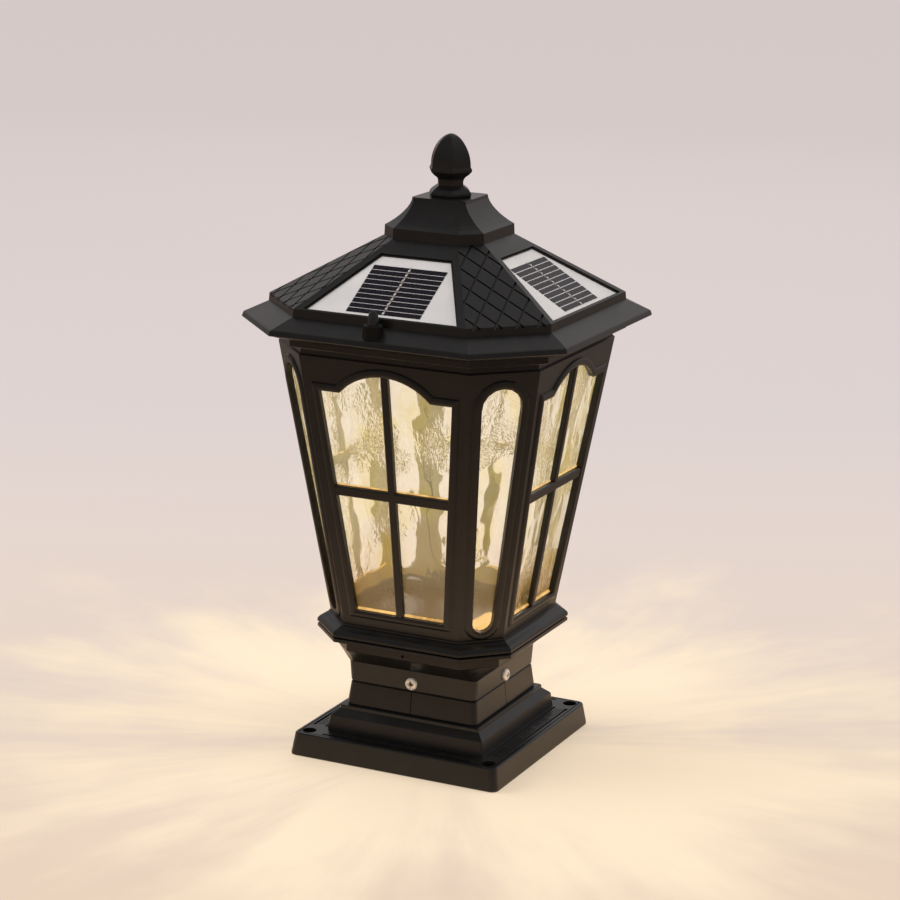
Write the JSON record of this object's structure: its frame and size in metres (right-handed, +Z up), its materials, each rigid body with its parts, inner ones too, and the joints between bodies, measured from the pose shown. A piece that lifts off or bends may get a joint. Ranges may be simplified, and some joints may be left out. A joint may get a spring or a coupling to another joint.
{
  "type": "solar post lantern",
  "caption": "Octagonal cast lantern with arched glazed windows, a solar roof with a finial and a square flanged base for bolting down.",
  "frame": {"origin": "centre of the base's underside, on the surface it stands on", "axes": "+Z up through the finial, -Y the front face with the switch on its brim, +X the right face"},
  "size_m": [0.2444, 0.2444, 0.4375],
  "materials": {
    "black_casting": "satin black powder coat on cast aluminium",
    "zinc_steel": "zinc-plated tube",
    "bright_steel": "bright stainless",
    "cream_glass": "cream rippled glass",
    "panel_board": "light grey satin board",
    "solar_cell": "dark violet laminate",
    "silver_strip": "dull silver",
    "black_button": "glossy black",
    "switch_plastic": "moulded",
    "white_board": "white solder mask",
    "led_chip": "yellow phosphor",
    "milky_cover": "milky diffuser",
    "holder_plastic": "moulded",
    "battery_wrap": "shrink sleeve",
    "green_board": "green solder mask",
    "chip_plastic": "moulded"
  },
  "bodies": {
    "lantern": {"base_flange": "black_casting", "post_stub": "zinc_steel", "stub_screws": "bright_steel", "neck_collar": "black_casting", "post_fitter": "black_casting", "neck_screws": "bright_steel", "cage_foot_screws": "bright_steel", "lantern_cage": "black_casting", "pane_front": "cream_glass", "pane_right": "cream_glass", "pane_back": "cream_glass", "pane_left": "cream_glass", "corner_pane_front_right": "cream_glass", "corner_pane_back_right": "cream_glass", "corner_pane_back_left": "cream_glass", "corner_pane_front_left": "cream_glass", "eaves_tray": "black_casting", "tray_screws": "bright_steel", "led_board": "white_board", "led_chips": "led_chip", "led_cover": "milky_cover", "led_cover_screws": "bright_steel", "battery_holder": "holder_plastic", "battery_cells": "battery_wrap", "control_board": "green_board", "control_parts": "chip_plastic", "control_screws": "bright_steel", "roof_shell": "black_casting", "roof_screws": "bright_steel", "solar_panel_front": "panel_board", "solar_panel_right": "panel_board", "solar_panel_back": "panel_board", "solar_panel_left": "panel_board", "solar_cells_front": "solar_cell", "solar_cells_right": "solar_cell", "solar_cells_back": "solar_cell", "solar_cells_left": "solar_cell", "panel_busbars": "silver_strip", "switch_spring": "bright_steel", "switch_body": "switch_plastic", "finial": "black_casting", "finial_bolt": "bright_steel", "finial_washer": "bright_steel"},
    "switch": {"switch_button": "black_button"}
  },
  "joints": [
    {"name": "switch_press", "type": "slide", "parent": "lantern", "child": "switch", "axis": [0, 0, -1], "range_m": [0, 0.002], "stiffness_N_per_m": 300, "springref_m": -0.0015, "deforming": ["switch_spring"]}
  ]
}
